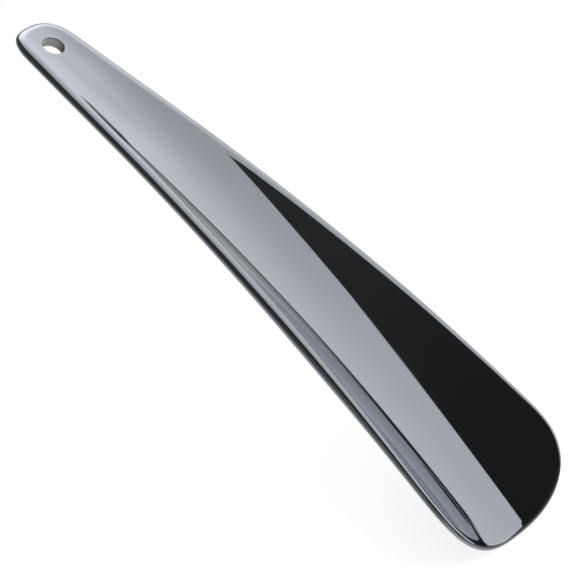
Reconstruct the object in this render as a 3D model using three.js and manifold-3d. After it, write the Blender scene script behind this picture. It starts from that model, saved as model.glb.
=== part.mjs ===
// A hand shoehorn made from one piece of polished metal: a narrow handle with a hang hole that
// runs out into a wide blade, troughed across along its whole length and drooping lengthwise.
// Millimetres, +Z up, hollow side up, resting on the handle end and on the blade tip.
import * as THREE from 'three';
import { mergeVertices } from 'three/addons/utils/BufferGeometryUtils.js';
import Module from 'manifold-3d';

// Driving dimensions. x runs along the shoehorn, from the handle end at 0 to the blade tip.
const LENGTH = 170;
const RIM_HALF_WIDTH_HANDLE = 5.1;
const RIM_HALF_WIDTH_BLADE = 23.5;

// The plate thickens a little as far as THIN_START, then thins down to the tip. A half-ellipse
// of EDGE_DEPTH rounds its edge off all the way round.
const THIN_START = 105;
const HALF_THICKNESS_HANDLE = 1.33;
const HALF_THICKNESS_MIDDLE = 1.55;
const HALF_THICKNESS_TIP = 0.9;
const EDGE_DEPTH = 2.5;
const EDGE_DEPTH_TIP = 1.7;

// Each end of the plan outline is half a superellipse.
const HANDLE_CAP = { length: 7.3, power: 3 };
const BLADE_CAP = { length: 20, power: 3 };

// The rim runs straight along the handle and then droops along an arc.
const DROOP_START = 40;
const DROOP_RADIUS = 665;

// The trough has one radius throughout. A flat land runs along its bottom beside the hang hole
// and fades out along the handle.
const TROUGH_RADIUS = 36;
const LAND_HALF_WIDTH = 1.5;
const LAND_FADE_START = 20;
const LAND_FADE_END = 45;

// The hang hole, with a small polished lip at both mouths.
const HOLE_X = 8.9;
const HOLE_RADIUS = 2.75;
const HOLE_LIP = 0.2;

// Mesh density.
const HANDLE_CAP_STEPS = 10;
const FLANK_STEPS = 34;
const BLADE_CAP_STEPS = 14;
const SHEET_STEPS = 10;
const EDGE_STEPS = 8;
const HOLE_STEPS = 48;
const LIP_STEPS = 3;

// How often the resting tilt is corrected.
const REST_PASSES = 5;

const METAL = new THREE.MeshStandardMaterial({ color: 0x85898f, roughness: 0.08, metalness: 1 });

const { lerp, clamp, smoothstep } = THREE.MathUtils;

function rimHalfWidth(x) {
  return lerp(RIM_HALF_WIDTH_HANDLE, RIM_HALF_WIDTH_BLADE, x / LENGTH);
}

function halfThickness(x) {
  const full = lerp(HALF_THICKNESS_HANDLE, HALF_THICKNESS_MIDDLE, Math.min(x / THIN_START, 1));
  return lerp(full, HALF_THICKNESS_TIP, smoothstep(x, THIN_START, LENGTH));
}

function edgeDepth(x) {
  return lerp(EDGE_DEPTH, EDGE_DEPTH_TIP, smoothstep(x, THIN_START, LENGTH));
}

// Height of a circular arc at a distance from its lowest point.
function arcRise(radius, distance) {
  return radius - Math.sqrt(radius ** 2 - distance ** 2);
}

// Height of the trough above its bottom.
function troughRise(x, y) {
  const land = lerp(LAND_HALF_WIDTH, 0, smoothstep(x, LAND_FADE_START, LAND_FADE_END));
  return arcRise(TROUGH_RADIUS, Math.max(Math.abs(y) - land, 0));
}

// Height of the plate's middle surface above the level of the handle's rim.
function middleHeight(x, y) {
  const droop = arcRise(DROOP_RADIUS, Math.max(x - DROOP_START, 0));
  return troughRise(x, y) - troughRise(x, rimHalfWidth(x)) - droop;
}

function middleNormal(x, y) {
  const step = 0.001;
  const slopeX = (middleHeight(x + step, y) - middleHeight(x - step, y)) / (2 * step);
  const slopeY = (middleHeight(x, y + step) - middleHeight(x, y - step)) / (2 * step);
  return new THREE.Vector3(-slopeX, -slopeY, 1).normalize();
}

// One corner of a rounded end. Corners stand half a step off the centreline, so the very end is
// a short straight edge, and the shoehorn rests on two such edges rather than on two points.
function capCorner(cap, index, steps) {
  const angle = (Math.PI / 2) * (index + 0.5) / steps;
  return {
    inset: cap.length * (1 - Math.cos(angle) ** (2 / cap.power)),
    widthShare: Math.sin(angle) ** (2 / cap.power),
  };
}

// Plan outline of the rim's centre curve: up one side, round the tip and back along the other.
function rimOutline() {
  const side = [];
  const add = (x, widthShare) => side.push(new THREE.Vector2(x, rimHalfWidth(x) * widthShare));
  const first = EDGE_DEPTH;
  const last = LENGTH - EDGE_DEPTH_TIP;
  for (let i = 0; i < HANDLE_CAP_STEPS; i++) {
    const { inset, widthShare } = capCorner(HANDLE_CAP, i, HANDLE_CAP_STEPS);
    add(first + inset, widthShare);
  }
  for (let i = 0; i <= FLANK_STEPS; i++) {
    add(lerp(first + HANDLE_CAP.length, last - BLADE_CAP.length, i / FLANK_STEPS), 1);
  }
  for (let i = BLADE_CAP_STEPS - 1; i >= 0; i--) {
    const { inset, widthShare } = capCorner(BLADE_CAP, i, BLADE_CAP_STEPS);
    add(last - inset, widthShare);
  }
  const otherSide = side.map((point) => new THREE.Vector2(point.x, -point.y)).reverse();
  return side.concat(otherSide);
}

// One ring of the top or bottom sheet: the outline shrunk towards the spine.
function sheetRing(outline, scale, side) {
  const spineStart = HOLE_X;
  const spineEnd = LENGTH - EDGE_DEPTH_TIP - BLADE_CAP.length;
  return outline.map((rim) => {
    const spineX = clamp(rim.x, spineStart, spineEnd);
    const x = lerp(spineX, rim.x, scale);
    const y = rim.y * scale;
    const offset = middleNormal(x, y).multiplyScalar(side * halfThickness(x));
    return new THREE.Vector3(x, y, middleHeight(x, y)).add(offset);
  });
}

// One ring of the rounded edge, at an angle up from the middle surface.
function edgeRing(outline, angle) {
  const centres = outline.map((rim) => new THREE.Vector3(rim.x, rim.y, middleHeight(rim.x, rim.y)));
  const count = centres.length;
  return centres.map((centre, i) => {
    const ahead = centres[(i + 1) % count];
    const behind = centres[(i + count - 1) % count];
    const up = middleNormal(centre.x, centre.y);
    const outward = up.clone().cross(ahead.clone().sub(behind)).normalize();
    const reach = outward.multiplyScalar(edgeDepth(centre.x) * Math.cos(angle));
    return centre.clone().add(reach).addScaledVector(up, halfThickness(centre.x) * Math.sin(angle));
  });
}

// A solid from a geometry whose shared corners still have to be joined.
function toSolid(wasm, geometry) {
  const bare = new THREE.BufferGeometry();
  bare.setAttribute('position', geometry.getAttribute('position'));
  bare.setIndex(geometry.getIndex());
  const merged = mergeVertices(bare);
  const corners = merged.getIndex().array;
  const kept = [];
  for (let i = 0; i < corners.length; i += 3) {
    const [a, b, c] = corners.slice(i, i + 3);
    if (a !== b && b !== c && c !== a) {
      kept.push(a, b, c);
    }
  }
  const vertProperties = new Float32Array(merged.getAttribute('position').array);
  return new wasm.Manifold(new wasm.Mesh({ numProp: 3, vertProperties, triVerts: new Uint32Array(kept) }));
}

function toGeometry(solid) {
  const mesh = solid.getMesh();
  const geometry = new THREE.BufferGeometry();
  geometry.setAttribute('position', new THREE.BufferAttribute(mesh.vertProperties, 3));
  geometry.setIndex(new THREE.BufferAttribute(mesh.triVerts, 1));
  geometry.computeVertexNormals();
  return geometry;
}

// The closed plate: rings from the spine of the top sheet, over the edge, to the bottom spine.
function plateGeometry() {
  const outline = rimOutline();
  const rings = [];
  for (let i = 0; i < SHEET_STEPS; i++) {
    rings.push(sheetRing(outline, i / SHEET_STEPS, 1));
  }
  for (let i = 0; i <= EDGE_STEPS; i++) {
    rings.push(edgeRing(outline, Math.PI * (0.5 - i / EDGE_STEPS)));
  }
  for (let i = SHEET_STEPS - 1; i >= 0; i--) {
    rings.push(sheetRing(outline, i / SHEET_STEPS, -1));
  }
  const count = outline.length;
  const indices = [];
  for (let ring = 0; ring + 1 < rings.length; ring++) {
    for (let i = 0; i < count; i++) {
      const next = (i + 1) % count;
      const [a, b] = [ring * count + i, ring * count + next];
      const [c, d] = [a + count, b + count];
      indices.push(a, b, d, a, d, c);
    }
  }
  const geometry = new THREE.BufferGeometry().setFromPoints(rings.flat());
  geometry.setIndex(indices);
  return geometry;
}

// What the hang hole removes: a pin whose ends flare out over the lips. The plate is cut square
// to the rim's level, at the middle height that it has at the hole.
function holeCutter() {
  const reach = halfThickness(HOLE_X);
  const beyond = 2 * reach;
  const mouth = HOLE_RADIUS + HOLE_LIP;
  const profile = [new THREE.Vector2(0, -beyond), new THREE.Vector2(mouth, -beyond)];
  for (const side of [-1, 1]) {
    const centreZ = side * (reach - HOLE_LIP);
    for (let i = 0; i <= LIP_STEPS; i++) {
      const angle = (Math.PI / 2) * (side < 0 ? 1 - i / LIP_STEPS : i / LIP_STEPS);
      const radius = mouth - HOLE_LIP * Math.cos(angle);
      profile.push(new THREE.Vector2(radius, centreZ + side * HOLE_LIP * Math.sin(angle)));
    }
  }
  profile.push(new THREE.Vector2(mouth, beyond), new THREE.Vector2(0, beyond));
  return new THREE.LatheGeometry(profile, HOLE_STEPS)
    .rotateX(Math.PI / 2)
    .translate(HOLE_X, 0, middleHeight(HOLE_X, 0));
}

async function shoehornBlade() {
  const wasm = await Module();
  wasm.setup();
  const plate = toSolid(wasm, plateGeometry());
  const blade = new THREE.Mesh(toGeometry(plate.subtract(toSolid(wasm, holeCutter()))), METAL);
  blade.name = 'shoehorn_blade';
  return blade;
}

// Corner that lies lowest once the part is tilted, out of one half of its length.
function lowestCorner(part, isInHalf) {
  const corners = part.geometry.getAttribute('position');
  const spin = new THREE.Euler(0, part.rotation.y, 0);
  let lowest = null;
  for (let i = 0; i < corners.count; i++) {
    const corner = new THREE.Vector3().fromBufferAttribute(corners, i);
    if (isInHalf(corner.x)) {
      corner.applyEuler(spin);
      lowest = lowest === null || corner.z < lowest.z ? corner : lowest;
    }
  }
  return lowest;
}

// Lay the part on the table, with the origin under the middle of its box: the handle end and
// the blade tip both touch. Each pass levels the two lowest corners, which then move a little.
function layDown(part) {
  for (let pass = 0; pass < REST_PASSES; pass++) {
    const handle = lowestCorner(part, (x) => x < LENGTH / 2);
    const blade = lowestCorner(part, (x) => x > LENGTH / 2);
    part.rotation.y -= Math.atan2(handle.z - blade.z, blade.x - handle.x);
  }
  const box = new THREE.Box3().setFromObject(part, true);
  const middle = box.getCenter(new THREE.Vector3());
  part.position.sub(new THREE.Vector3(middle.x, middle.y, box.min.z));
  return part;
}

const shoehorn = new THREE.Group();
shoehorn.add(layDown(await shoehornBlade()));

export default shoehorn;
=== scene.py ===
"""A one-piece polished metal shoehorn on a pale studio floor.

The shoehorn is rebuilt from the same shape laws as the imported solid, many times finer, so that its
mirror finish reflects cleanly. Shape lengths are in millimetres: x runs from the handle end to the
blade tip, y across, z up from the rim of the handle. The finished mesh is then laid down like the
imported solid, on its handle end and blade tip, over the middle of the frame's box.
"""
import math

import bpy
import bmesh
import numpy as np
from mathutils import Matrix, Quaternion, Vector


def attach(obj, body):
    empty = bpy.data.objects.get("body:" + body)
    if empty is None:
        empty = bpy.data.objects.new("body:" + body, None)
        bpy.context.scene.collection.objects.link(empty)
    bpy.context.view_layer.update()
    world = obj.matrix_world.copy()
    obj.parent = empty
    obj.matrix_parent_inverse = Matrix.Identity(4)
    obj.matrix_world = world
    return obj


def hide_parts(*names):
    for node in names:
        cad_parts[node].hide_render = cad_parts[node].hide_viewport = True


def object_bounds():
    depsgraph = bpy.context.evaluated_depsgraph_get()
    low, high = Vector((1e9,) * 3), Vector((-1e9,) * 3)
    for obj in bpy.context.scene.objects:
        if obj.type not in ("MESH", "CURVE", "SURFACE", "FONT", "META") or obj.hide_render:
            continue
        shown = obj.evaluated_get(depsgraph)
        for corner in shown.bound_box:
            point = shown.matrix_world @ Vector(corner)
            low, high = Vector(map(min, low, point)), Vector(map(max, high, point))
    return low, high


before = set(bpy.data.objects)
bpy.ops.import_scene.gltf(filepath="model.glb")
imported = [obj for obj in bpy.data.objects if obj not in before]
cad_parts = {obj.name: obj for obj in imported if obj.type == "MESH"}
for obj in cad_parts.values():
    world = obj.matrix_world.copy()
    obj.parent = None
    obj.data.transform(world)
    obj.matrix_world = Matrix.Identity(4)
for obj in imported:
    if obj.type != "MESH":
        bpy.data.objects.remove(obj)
CAD_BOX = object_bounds()

MM = 0.001

# Driving dimensions of the blade (mm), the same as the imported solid's.
LENGTH = 170.0
RIM_HALF_WIDTH_HANDLE, RIM_HALF_WIDTH_BLADE = 5.1, 23.5
THIN_START = 105.0
HALF_THICKNESS_HANDLE, HALF_THICKNESS_MIDDLE, HALF_THICKNESS_TIP = 1.33, 1.55, 0.9
EDGE_DEPTH, EDGE_DEPTH_TIP = 2.5, 1.7
HANDLE_CAP_LENGTH, HANDLE_CAP_POWER = 7.3, 3.0
BLADE_CAP_LENGTH, BLADE_CAP_POWER = 20.0, 3.0
DROOP_START, DROOP_RADIUS = 40.0, 665.0
TROUGH_RADIUS = 36.0
LAND_HALF_WIDTH, LAND_FADE_START, LAND_FADE_END = 1.5, 20.0, 45.0
HOLE_X, HOLE_RADIUS, HOLE_LIP = 8.9, 2.75, 0.2

# Spacing (mm) of the differences that give the surface's slope, and of points that are one point.
SLOPE_STEP, WELD_DISTANCE = 0.001, 1e-5

# Mesh density.
HANDLE_CAP_STEPS = 36
FLANK_STEPS = 230
BLADE_CAP_STEPS = 80
SHEET_STEPS = 44
EDGE_STEPS = 20
HOLE_STEPS = 96
LIP_STEPS = 8

# How far (mm) outside its radius a point may lie and still belong to the hole.
HOLE_TOLERANCE = 0.001

# How often the resting tilt is corrected.
REST_PASSES = 5

# Polished metal: tint, noise scales (per metre) and how far the polish lines are stretched along x.
METAL_TINT = (0.465, 0.495, 0.54, 1.0)
LINE_SCALE, BAND_SCALE, HAZE_SCALE, WAVE_SCALE = 9000.0, 900.0, 45.0, 110.0
LINE_STRETCH = (0.03, 1.0, 1.0)
# What each noise adds to the roughness: the noise's range, then the roughness at its two ends.
LINE_ROUGHNESS = (0.35, 0.65, 0.02, 0.035)
BAND_ROUGHNESS = (0.5, 0.7, 0.0, 0.012)
HAZE_ROUGHNESS = (0.45, 0.75, 0.0, 0.025)
LINE_BUMP_STRENGTH, LINE_BUMP_DISTANCE, WAVE_BUMP_DISTANCE = 0.001, 0.0001, 0.000003

# Drilled wall: tint, finish and the painted shade in its colour, which runs from the wall facing the
# handle to the other.
DRILLED_TINT = (1.0, 0.99, 0.93)
DRILLED_ROUGHNESS, DRILLED_SHINE = 0.6, 0.2
DRILLED_PAINTED_SHADE = (-0.8, 0.9, 0.05, 0.32)

# Studio directions are (azimuth, elevation) in degrees: azimuth 0 is +Y, 90 is +X.
# A border is the plane through the viewer square to its direction, with a softness in degrees.
PANEL_FAR_BORDER = ((-42.7, -22.4), 0.3)
PANEL_FAR_BORDER_BY_TIP = ((-21.1, -32.2), 0.6)
PANEL_LEFT_BORDER = ((12.0, 0.0), 2.0)
PANEL_RIGHT_BORDER = ((-54.0, 0.0), 1.5)
PANEL_CORNER_LEFT_BORDER = ((90.5, 0.0), 0.4)
PANEL_CORNER_LOW_BORDER = ((-103.0, 61.7), 0.4)
BACKDROP_LEFT_BORDER = ((-78.4, -62.5), 0.8)
RIGHT_ANGLE = 90.0

# A ring is a border at an angle round its direction, with a softness; both in degrees.
UP, DOWN, AHEAD, RIGHT, LEFT = (0.0, 90.0), (0.0, -90.0), (0.0, 0.0), (90.0, 0.0), (-90.0, 0.0)
PANEL_BOTTOM_RING = (UP, 77.5, 0.5)
BACKDROP_TOP_RING = (DOWN, 101.4, 0.3)

# The panel's brightness, and two glows on it: direction, width and how much they add.
PANEL_LEVEL = 0.871
PANEL_HOT_SPOT = ((-53.0, 14.0), 0.079, 1.5)
PANEL_DIM_SPOT = ((-70.0, 36.0), 0.316, -0.473)

# The slit in the panel: the direction square to it, how its edge fades and where it ends upwards.
SLIT_POLE = (-107.1, -25.0)
SLIT_EDGE, SLIT_TOP = (0.004, 0.010), (0.325, 0.345)

# How the other lights run with a component of the view: its range, then the light at both ends.
BACKDROP_POLE = (-85.0, 0.0)
BACKDROP_BY_HEIGHT = (0.21, 0.0, 0.30, 0.92)
BACKDROP_BY_POLE, BACKDROP_BY_LEFT, BACKDROP_BY_AHEAD = (-0.15, 0.58), (0.0, 0.1), (0.2, 0.55)
TIP_SIDE_BY_RIGHT, TIP_SIDE_BY_HEIGHT = (0.35, 0.8, 0.0, 0.4), (0.6, -0.1, 0.08, 1.0)
GROUND_BY_HEIGHT = (0.0, -1.0, 0.0, 0.5)
ROOM_BY_LEFT = (-0.1, 1.0, 0.018, 0.072)
BACK_POLE = (145.0, 0.0)
BACK_BY_POLE, BACK_FROM_HEIGHT, BACK_TO_HEIGHT = (0.35, 0.55, 0.0, 0.4), (0.3, 0.5), (0.84, 0.7)

# The lamp that shades the floor, and the floor itself.
LAMP_PLACE, LAMP_SIZE, LAMP_POWER = (0.25, 0.9, 0.8), 0.5, 12.0
FLOOR_HALF_SIZE = 4.0
FLOOR_COLOUR = (0.9, 0.9, 0.9, 1.0)

# The floor's share of painted white glow, which washes out its shadow: from x to x (m), and the share
# at both ends.
FLOOR_GLOW_SHARE = (0.035, 0.085, 1.0, 0.82)
ALONG = (1.0, 0.0, 0.0)

# Camera: where it stands round the aimed point, and how far it is turned about its own view line.
CAMERA_AIM = Vector((0.00544, 0.00326, 0.0))
CAMERA_DISTANCE = 0.7087
CAMERA_AZIMUTH = math.radians(18.41)
CAMERA_ELEVATION = math.radians(43.91)
CAMERA_ROLL = math.radians(32.88)
CAMERA_LENS, CAMERA_CLIP = 187.3, 0.01


# ---------------------------------------------------------------- shape laws

def smoothstep(x, start, end):
    t = np.clip((x - start) / (end - start), 0.0, 1.0)
    return t * t * (3.0 - 2.0 * t)


def lerp(a, b, t):
    return a + (b - a) * t


def rim_half_width(x):
    return lerp(RIM_HALF_WIDTH_HANDLE, RIM_HALF_WIDTH_BLADE, x / LENGTH)


def half_thickness(x):
    full = lerp(HALF_THICKNESS_HANDLE, HALF_THICKNESS_MIDDLE, np.minimum(x / THIN_START, 1.0))
    return lerp(full, HALF_THICKNESS_TIP, smoothstep(x, THIN_START, LENGTH))


def edge_depth(x):
    return lerp(EDGE_DEPTH, EDGE_DEPTH_TIP, smoothstep(x, THIN_START, LENGTH))


def arc_rise(radius, distance):
    """Height of a circular arc at a distance from its lowest point."""
    return radius - np.sqrt(radius**2 - distance**2)


def trough_rise(x, y):
    """Height of the trough across the plate; beside the hole its bottom is a level land."""
    land = lerp(LAND_HALF_WIDTH, 0.0, smoothstep(x, LAND_FADE_START, LAND_FADE_END))
    return arc_rise(TROUGH_RADIUS, np.maximum(np.abs(y) - land, 0.0))


def middle_height(x, y):
    """Height of the middle surface, from the level of the handle's rim."""
    droop = arc_rise(DROOP_RADIUS, np.maximum(x - DROOP_START, 0.0))
    return trough_rise(x, y) - trough_rise(x, rim_half_width(x)) - droop


def middle_normal(x, y):
    """Unit normal of the middle surface, from central differences."""
    step = SLOPE_STEP
    slope_x = (middle_height(x + step, y) - middle_height(x - step, y)) / (2.0 * step)
    slope_y = (middle_height(x, y + step) - middle_height(x, y - step)) / (2.0 * step)
    normal = np.stack([-slope_x, -slope_y, np.ones_like(x)], axis=-1)
    return normal / np.linalg.norm(normal, axis=-1, keepdims=True)


def cap(length, power, steps):
    """Insets and width shares of a superellipse end, from the very end to the full width."""
    angle = np.linspace(0.0, math.pi / 2.0, steps + 1)
    share = np.sin(angle) ** (2.0 / power)
    inset = length * (1.0 - np.cos(angle) ** (2.0 / power))
    return inset, share


def rim_outline():
    """Plan outline of the rim's centre curve, up one side and back along the other."""
    first, last = EDGE_DEPTH, LENGTH - EDGE_DEPTH_TIP
    handle_inset, handle_share = cap(HANDLE_CAP_LENGTH, HANDLE_CAP_POWER, HANDLE_CAP_STEPS)
    blade_inset, blade_share = cap(BLADE_CAP_LENGTH, BLADE_CAP_POWER, BLADE_CAP_STEPS)
    flank = np.linspace(first + HANDLE_CAP_LENGTH, last - BLADE_CAP_LENGTH, FLANK_STEPS + 1)
    x = np.concatenate([first + handle_inset, flank[1:-1], last - blade_inset[::-1]])
    share = np.concatenate([handle_share, np.ones(FLANK_STEPS - 1), blade_share[::-1]])
    y = rim_half_width(x) * share
    return np.concatenate([x, x[-2:0:-1]]), np.concatenate([y, -y[-2:0:-1]])


def sheet_ring(x_rim, y_rim, scale, side):
    """One ring of the top (side 1) or bottom (-1) sheet: the outline shrunk towards the spine."""
    spine = np.clip(x_rim, HOLE_X, LENGTH - EDGE_DEPTH_TIP - BLADE_CAP_LENGTH)
    x = lerp(spine, x_rim, scale)
    y = y_rim * scale
    middle = np.stack([x, y, middle_height(x, y)], axis=-1)
    return middle + side * half_thickness(x)[:, None] * middle_normal(x, y)


def edge_ring(x_rim, y_rim, angle):
    """One ring of the rounded edge, at an angle up from the middle surface."""
    centre = np.stack([x_rim, y_rim, middle_height(x_rim, y_rim)], axis=-1)
    up = middle_normal(x_rim, y_rim)
    outward = np.cross(up, np.roll(centre, -1, axis=0) - np.roll(centre, 1, axis=0))
    outward /= np.linalg.norm(outward, axis=-1, keepdims=True)
    reach = edge_depth(x_rim)[:, None] * math.cos(angle) * outward
    return centre + reach + half_thickness(x_rim)[:, None] * math.sin(angle) * up


# ---------------------------------------------------------------- meshes

def mesh_from_rings(name, rings):
    """A closed smooth mesh from rings of points; the first and last ring fold shut on themselves."""
    count = len(rings[0])
    faces = []
    for ring in range(len(rings) - 1):
        for i in range(count):
            a = ring * count + i
            b = ring * count + (i + 1) % count
            faces.append((a, b, b + count, a + count))
    mesh = bpy.data.meshes.new(name)
    mesh.from_pydata(np.concatenate(rings).tolist(), [], faces)
    work = bmesh.new()
    work.from_mesh(mesh)
    bmesh.ops.remove_doubles(work, verts=work.verts, dist=WELD_DISTANCE)
    work.to_mesh(mesh)
    work.free()
    mesh.shade_smooth()
    piece = bpy.data.objects.new(name, mesh)
    bpy.context.scene.collection.objects.link(piece)
    return piece


def plate():
    """The whole shoehorn but for its hole: top sheet, rounded edge and bottom sheet."""
    x_rim, y_rim = rim_outline()
    scales = np.arange(SHEET_STEPS) / SHEET_STEPS
    rings = [sheet_ring(x_rim, y_rim, scale, 1.0) for scale in scales]
    for step in range(EDGE_STEPS + 1):
        rings.append(edge_ring(x_rim, y_rim, math.pi * (0.5 - step / EDGE_STEPS)))
    rings += [sheet_ring(x_rim, y_rim, scale, -1.0) for scale in scales[::-1]]
    return mesh_from_rings("shoehorn_polished", rings)


def hole_cutter():
    """A pin through the hang hole, flaring out over a small lip at both mouths."""
    reach = float(half_thickness(HOLE_X))
    beyond = 2.0 * reach
    mouth = HOLE_RADIUS + HOLE_LIP
    lip = []
    for step in range(LIP_STEPS + 1):
        angle = math.pi / 2.0 * step / LIP_STEPS
        lip.append((mouth - HOLE_LIP * math.cos(angle), reach - HOLE_LIP + HOLE_LIP * math.sin(angle)))
    upper = lip + [(mouth, beyond), (0.0, beyond)]
    profile = [(radius, -height) for radius, height in reversed(upper)] + upper
    turn = np.linspace(0.0, 2.0 * math.pi, HOLE_STEPS, endpoint=False)
    level = middle_height(HOLE_X, 0.0)
    rings = []
    for radius, height in profile:
        x = HOLE_X + radius * np.cos(turn)
        rings.append(np.stack([x, radius * np.sin(turn), np.full(HOLE_STEPS, level + height)], axis=-1))
    return mesh_from_rings("hole_cutter", rings)


def cut(piece, cutter):
    """Takes the cutter's volume out of the piece, then removes the cutter."""
    modifier = piece.modifiers.new("cut", "BOOLEAN")
    modifier.operation = "DIFFERENCE"
    modifier.solver = "EXACT"
    modifier.object = cutter
    graph = bpy.context.evaluated_depsgraph_get()
    mesh = bpy.data.meshes.new_from_object(piece.evaluated_get(graph))
    piece.modifiers.clear()
    piece.data = mesh
    bpy.data.objects.remove(cutter)


def finish_hole(piece):
    """Gives the hole's straight wall the second material and makes the edge of each mouth sharp."""
    work = bmesh.new()
    work.from_mesh(piece.data)
    bored = set()
    for face in work.faces:
        reach = max(math.hypot(vert.co.x - HOLE_X, vert.co.y) for vert in face.verts)
        face.material_index = 1 if reach < HOLE_RADIUS + HOLE_TOLERANCE else 0
        if reach < HOLE_RADIUS + HOLE_LIP + HOLE_TOLERANCE:
            bored.add(face)
    for edge in work.edges:
        edge.smooth = len(bored.intersection(edge.link_faces)) != 1
    work.to_mesh(piece.data)
    work.free()


def lay_down(piece):
    """Moves the millimetre mesh into the frame: both ends touch down, over the CAD box's middle."""
    count = len(piece.data.vertices)
    points = np.empty(3 * count)
    piece.data.vertices.foreach_get("co", points)
    points = points.reshape(count, 3) * MM
    ends = [points[:, 0] < LENGTH / 2.0 * MM, points[:, 0] > LENGTH / 2.0 * MM]
    for _ in range(REST_PASSES):
        handle, blade = [points[end][np.argmin(points[end][:, 2])] for end in ends]
        tilt = math.atan2(handle[2] - blade[2], blade[0] - handle[0])
        spin = np.array(Matrix.Rotation(-tilt, 3, "Y"))
        points = points @ spin.T
    low, high = points.min(axis=0), points.max(axis=0)
    cad_low, cad_high = np.array(CAD_BOX[0]), np.array(CAD_BOX[1])
    shift = (cad_low + cad_high - low - high) / 2.0
    shift[2] = cad_low[2] - low[2]
    piece.data.vertices.foreach_set("co", (points + shift).ravel())
    piece.data.update()


# ---------------------------------------------------------------- materials

class Nodes:
    """Short calls for building a node tree."""

    def __init__(self, tree):
        self.tree = tree
        tree.nodes.clear()

    def add(self, kind, **values):
        node = self.tree.nodes.new(kind)
        for key, value in values.items():
            setattr(node, key, value)
        return node

    def feed(self, socket, value):
        if isinstance(value, bpy.types.NodeSocket):
            self.tree.links.new(value, socket)
        else:
            socket.default_value = value

    def math(self, operation, *values):
        node = self.add("ShaderNodeMath", operation=operation)
        for socket, value in zip(node.inputs, values):
            self.feed(socket, value)
        return node.outputs[0]

    def dot(self, vector, axis):
        node = self.add("ShaderNodeVectorMath", operation="DOT_PRODUCT")
        self.feed(node.inputs[0], vector)
        self.feed(node.inputs[1], axis)
        return node.outputs["Value"]

    def ramp(self, value, start, end, low=0.0, high=1.0, kind="SMOOTHSTEP"):
        node = self.add("ShaderNodeMapRange", interpolation_type=kind)
        for socket, number in zip(node.inputs, (value, start, end, low, high)):
            self.feed(socket, number)
        return node.outputs[0]

    def near(self, view, pole, angle, softness):
        """1 where the view is closer to the pole than an angle, 0 beyond, soft between."""
        inner, outer = [math.cos(math.radians(angle + side * softness)) for side in (-1.0, 1.0)]
        return self.ramp(self.dot(view, direction(*pole)), outer, inner)

    def inside(self, view, border):
        """1 on the side of a border that its direction points to, 0 on the other, soft between."""
        pole, softness = border
        return self.near(view, pole, RIGHT_ANGLE, softness)

    def glow(self, view, pole, width, level):
        """Round glow about a pole."""
        away = self.math("SUBTRACT", self.dot(view, direction(*pole)), 1.0)
        return self.math("MULTIPLY", self.math("EXPONENT", self.math("DIVIDE", away, width)), level)

    def surface(self, shader):
        """Makes a shader what the tree puts out."""
        output = self.add("ShaderNodeOutputMaterial")
        self.feed(output.inputs["Surface"], shader)

    def chain(self, operation, values):
        result = values[0]
        for value in values[1:]:
            result = self.math(operation, result, value)
        return result

    def total(self, *values):
        return self.chain("ADD", values)

    def product(self, *values):
        return self.chain("MULTIPLY", values)

    def noise(self, vector, scale, detail=2.0):
        node = self.add("ShaderNodeTexNoise")
        self.feed(node.inputs["Vector"], vector)
        node.inputs["Scale"].default_value = scale
        node.inputs["Detail"].default_value = detail
        return node.outputs["Fac"]


def new_material(name):
    material = bpy.data.materials.new(name)
    material.use_nodes = True
    return material, Nodes(material.node_tree)


def polished_metal():
    """Mirror metal with fine polish lines along it, broader bands, a cloudy haze and slow waves."""
    material, nodes = new_material("polished_metal")
    place = nodes.add("ShaderNodeTexCoord").outputs["Object"]
    along = nodes.add("ShaderNodeMapping")
    nodes.feed(along.inputs["Vector"], place)
    along.inputs["Scale"].default_value = LINE_STRETCH
    lines = nodes.noise(along.outputs[0], LINE_SCALE)
    bands = nodes.noise(along.outputs[0], BAND_SCALE)
    haze = nodes.noise(place, HAZE_SCALE, 3.0)
    waves = nodes.noise(place, WAVE_SCALE, 0.0)
    shader = nodes.add("ShaderNodeBsdfPrincipled")
    shader.inputs["Metallic"].default_value = 1.0
    shader.inputs["Base Color"].default_value = METAL_TINT
    roughness = nodes.total(
        nodes.ramp(lines, *LINE_ROUGHNESS),
        nodes.ramp(bands, *BAND_ROUGHNESS),
        nodes.ramp(haze, *HAZE_ROUGHNESS),
    )
    nodes.feed(shader.inputs["Roughness"], roughness)
    fine = nodes.add("ShaderNodeBump")
    fine.inputs["Strength"].default_value = LINE_BUMP_STRENGTH
    fine.inputs["Distance"].default_value = LINE_BUMP_DISTANCE
    nodes.feed(fine.inputs["Height"], lines)
    broad = nodes.add("ShaderNodeBump")
    broad.inputs["Strength"].default_value = 1.0
    broad.inputs["Distance"].default_value = WAVE_BUMP_DISTANCE
    nodes.feed(broad.inputs["Height"], waves)
    nodes.feed(broad.inputs["Normal"], fine.outputs[0])
    nodes.feed(shader.inputs["Normal"], broad.outputs[0])
    nodes.surface(shader.outputs[0])
    return material


def drilled_metal():
    """A matt stand-in for the rough metal of the hole's wall, with painted shade: its colour is lighter
    where the wall faces the tip.
    """
    material, nodes = new_material("drilled_metal")
    facing = nodes.add("ShaderNodeNewGeometry").outputs["Normal"]
    towards_tip = nodes.dot(facing, ALONG)
    # Painted shade: the wall's colour runs from dark to light as the wall turns to face the tip.
    painted_shade = nodes.ramp(towards_tip, *DRILLED_PAINTED_SHADE)
    colour = nodes.add("ShaderNodeCombineColor")
    for socket, tint in zip(colour.inputs, DRILLED_TINT):
        nodes.feed(socket, nodes.math("MULTIPLY", painted_shade, tint))
    shader = nodes.add("ShaderNodeBsdfPrincipled")
    shader.inputs["Roughness"].default_value = DRILLED_ROUGHNESS
    shader.inputs["Specular IOR Level"].default_value = DRILLED_SHINE
    nodes.feed(shader.inputs["Base Color"], colour.outputs[0])
    nodes.surface(shader.outputs[0])
    return material


# ---------------------------------------------------------------- studio

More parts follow.
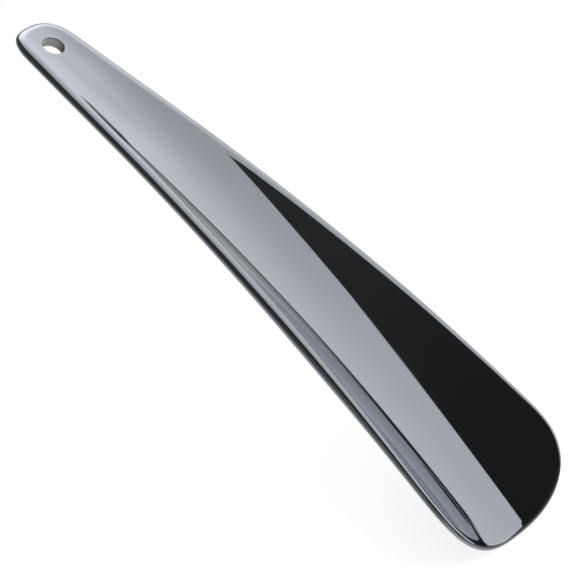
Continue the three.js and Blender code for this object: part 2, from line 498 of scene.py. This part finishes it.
def direction(azimuth, elevation):
    """Unit vector of a studio direction."""
    a, e = math.radians(azimuth), math.radians(elevation)
    return (math.sin(a) * math.cos(e), math.cos(a) * math.cos(e), math.sin(e))


def panel_light(nodes, view, up):
    """The bright panel: an uneven glow inside soft borders, with one thin dark slit low down."""
    level = nodes.total(
        PANEL_LEVEL,
        nodes.glow(view, *PANEL_HOT_SPOT),
        nodes.glow(view, *PANEL_DIM_SPOT),
    )
    far_border = nodes.math(
        "MAXIMUM",
        nodes.inside(view, PANEL_FAR_BORDER),
        nodes.inside(view, PANEL_FAR_BORDER_BY_TIP),
    )
    low_corner = nodes.product(
        nodes.inside(view, PANEL_CORNER_LEFT_BORDER),
        nodes.inside(view, PANEL_CORNER_LOW_BORDER),
    )
    high_enough = nodes.near(view, *PANEL_BOTTOM_RING)
    across_slit = nodes.dot(view, direction(*SLIT_POLE))
    off_slit = nodes.ramp(nodes.math("ABSOLUTE", across_slit), *SLIT_EDGE)
    above_slit = nodes.ramp(up, *SLIT_TOP)
    return nodes.product(
        level,
        far_border,
        nodes.math("MAXIMUM", high_enough, low_corner),
        nodes.inside(view, PANEL_LEFT_BORDER),
        nodes.inside(view, PANEL_RIGHT_BORDER),
        nodes.math("MAXIMUM", off_slit, above_slit),
    )


def studio_light(nodes, view):
    """Brightness of the dark studio seen along a direction: what the mirror metal reflects."""
    up, ahead, right, left, to_backdrop, to_back = [
        nodes.dot(view, direction(*pole))
        for pole in (UP, AHEAD, RIGHT, LEFT, BACKDROP_POLE, BACK_POLE)
    ]
    backdrop = nodes.product(
        nodes.ramp(up, *BACKDROP_BY_HEIGHT, kind="LINEAR"),
        nodes.ramp(to_backdrop, *BACKDROP_BY_POLE),
        nodes.ramp(left, *BACKDROP_BY_LEFT),
        nodes.ramp(ahead, *BACKDROP_BY_AHEAD),
        nodes.near(view, *BACKDROP_TOP_RING),
        nodes.inside(view, BACKDROP_LEFT_BORDER),
    )
    tip_side = nodes.product(
        nodes.ramp(right, *TIP_SIDE_BY_RIGHT),
        nodes.ramp(up, *TIP_SIDE_BY_HEIGHT),
    )
    ground = nodes.ramp(up, *GROUND_BY_HEIGHT, kind="LINEAR")
    room = nodes.ramp(left, *ROOM_BY_LEFT, kind="LINEAR")
    back_fill = nodes.product(
        nodes.ramp(to_back, *BACK_BY_POLE),
        nodes.ramp(up, *BACK_FROM_HEIGHT),
        nodes.ramp(up, *BACK_TO_HEIGHT),
    )
    return nodes.total(panel_light(nodes, view, up), backdrop, tip_side, ground, room, back_fill)


def studio_world():
    """The metal reflects the studio; everything else is lit by an even white surround."""
    world = bpy.data.worlds.new("studio")
    bpy.context.scene.world = world
    world.use_nodes = True
    nodes = Nodes(world.node_tree)
    view = nodes.add("ShaderNodeTexCoord").outputs["Generated"]
    mirrored = nodes.add("ShaderNodeLightPath").outputs["Is Glossy Ray"]
    mix = nodes.add("ShaderNodeMix", data_type="FLOAT")
    nodes.feed(mix.inputs[0], mirrored)
    nodes.feed(mix.inputs[2], 1.0)
    nodes.feed(mix.inputs[3], studio_light(nodes, view))
    background = nodes.add("ShaderNodeBackground")
    background.inputs["Color"].default_value = (1.0, 1.0, 1.0, 1.0)
    nodes.feed(background.inputs["Strength"], mix.outputs[0])
    output = nodes.add("ShaderNodeOutputWorld")
    nodes.feed(output.inputs["Surface"], background.outputs[0])


def floor_material():
    """Pale and overexposed to the camera, mostly a painted white glow that washes out its shadow save
    near the blade tip; in the metal's reflections the studio shows instead.
    """
    material, nodes = new_material("pale_floor")
    diffuse = nodes.add("ShaderNodeBsdfDiffuse")
    diffuse.inputs["Color"].default_value = FLOOR_COLOUR
    # Painted glow: plain white light on the floor itself, so its shadow shows only faintly near the
    # blade tip.
    floor_glow = nodes.add("ShaderNodeEmission")
    floor_glow.inputs["Strength"].default_value = 1.0
    pale = nodes.add("ShaderNodeMixShader")
    spot = nodes.add("ShaderNodeNewGeometry")
    along = nodes.dot(spot.outputs["Position"], ALONG)
    nodes.feed(pale.inputs[0], nodes.ramp(along, *FLOOR_GLOW_SHARE))
    nodes.feed(pale.inputs[1], diffuse.outputs[0])
    nodes.feed(pale.inputs[2], floor_glow.outputs[0])
    towards = nodes.add("ShaderNodeVectorMath", operation="SCALE")
    nodes.feed(towards.inputs[0], spot.outputs["Incoming"])
    towards.inputs["Scale"].default_value = -1.0
    reflected = nodes.add("ShaderNodeEmission")
    nodes.feed(reflected.inputs["Strength"], studio_light(nodes, towards.outputs[0]))
    either = nodes.add("ShaderNodeMixShader")
    nodes.feed(either.inputs[0], nodes.add("ShaderNodeLightPath").outputs["Is Glossy Ray"])
    nodes.feed(either.inputs[1], pale.outputs[0])
    nodes.feed(either.inputs[2], reflected.outputs[0])
    nodes.surface(either.outputs[0])
    return material


def studio_floor():
    mesh = bpy.data.meshes.new("floor")
    half = FLOOR_HALF_SIZE
    corners = [(-half, -half, 0.0), (half, -half, 0.0), (half, half, 0.0), (-half, half, 0.0)]
    mesh.from_pydata(corners, [], [(0, 1, 2, 3)])
    floor = bpy.data.objects.new("floor", mesh)
    bpy.context.scene.collection.objects.link(floor)
    mesh.materials.append(floor_material())


def soft_lamp():
    """A square soft lamp aimed at the shoehorn; it lights the floor but shows in no reflection."""
    light = bpy.data.lights.new("key", "AREA")
    light.size = LAMP_SIZE
    light.energy = LAMP_POWER
    lamp = bpy.data.objects.new("key", light)
    lamp.location = LAMP_PLACE
    lamp.rotation_mode = "QUATERNION"
    lamp.rotation_quaternion = Vector(LAMP_PLACE).to_track_quat("Z", "Y")
    lamp.visible_glossy = False
    bpy.context.scene.collection.objects.link(lamp)


def camera():
    """Looks at the aimed point from the photographed angle."""
    data = bpy.data.cameras.new("camera")
    data.lens = CAMERA_LENS
    data.clip_start = CAMERA_CLIP
    eye = bpy.data.objects.new("camera", data)
    flat = math.cos(CAMERA_ELEVATION)
    back = Vector((
        math.sin(CAMERA_AZIMUTH) * flat,
        -math.cos(CAMERA_AZIMUTH) * flat,
        math.sin(CAMERA_ELEVATION),
    ))
    eye.location = CAMERA_AIM + back * CAMERA_DISTANCE
    eye.rotation_mode = "QUATERNION"
    level = (-back).to_track_quat("-Z", "Y")
    eye.rotation_quaternion = level @ Quaternion((0.0, 0.0, 1.0), CAMERA_ROLL)
    bpy.context.scene.collection.objects.link(eye)
    bpy.context.scene.camera = eye


# ---------------------------------------------------------------- build

shoehorn = plate()
cut(shoehorn, hole_cutter())
finish_hole(shoehorn)
lay_down(shoehorn)
shoehorn.data.materials.append(polished_metal())
shoehorn.data.materials.append(drilled_metal())
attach(shoehorn, "root")
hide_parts("shoehorn_blade")

studio_world()
studio_floor()
soft_lamp()
camera()
bpy.context.scene.view_settings.view_transform = "Standard"
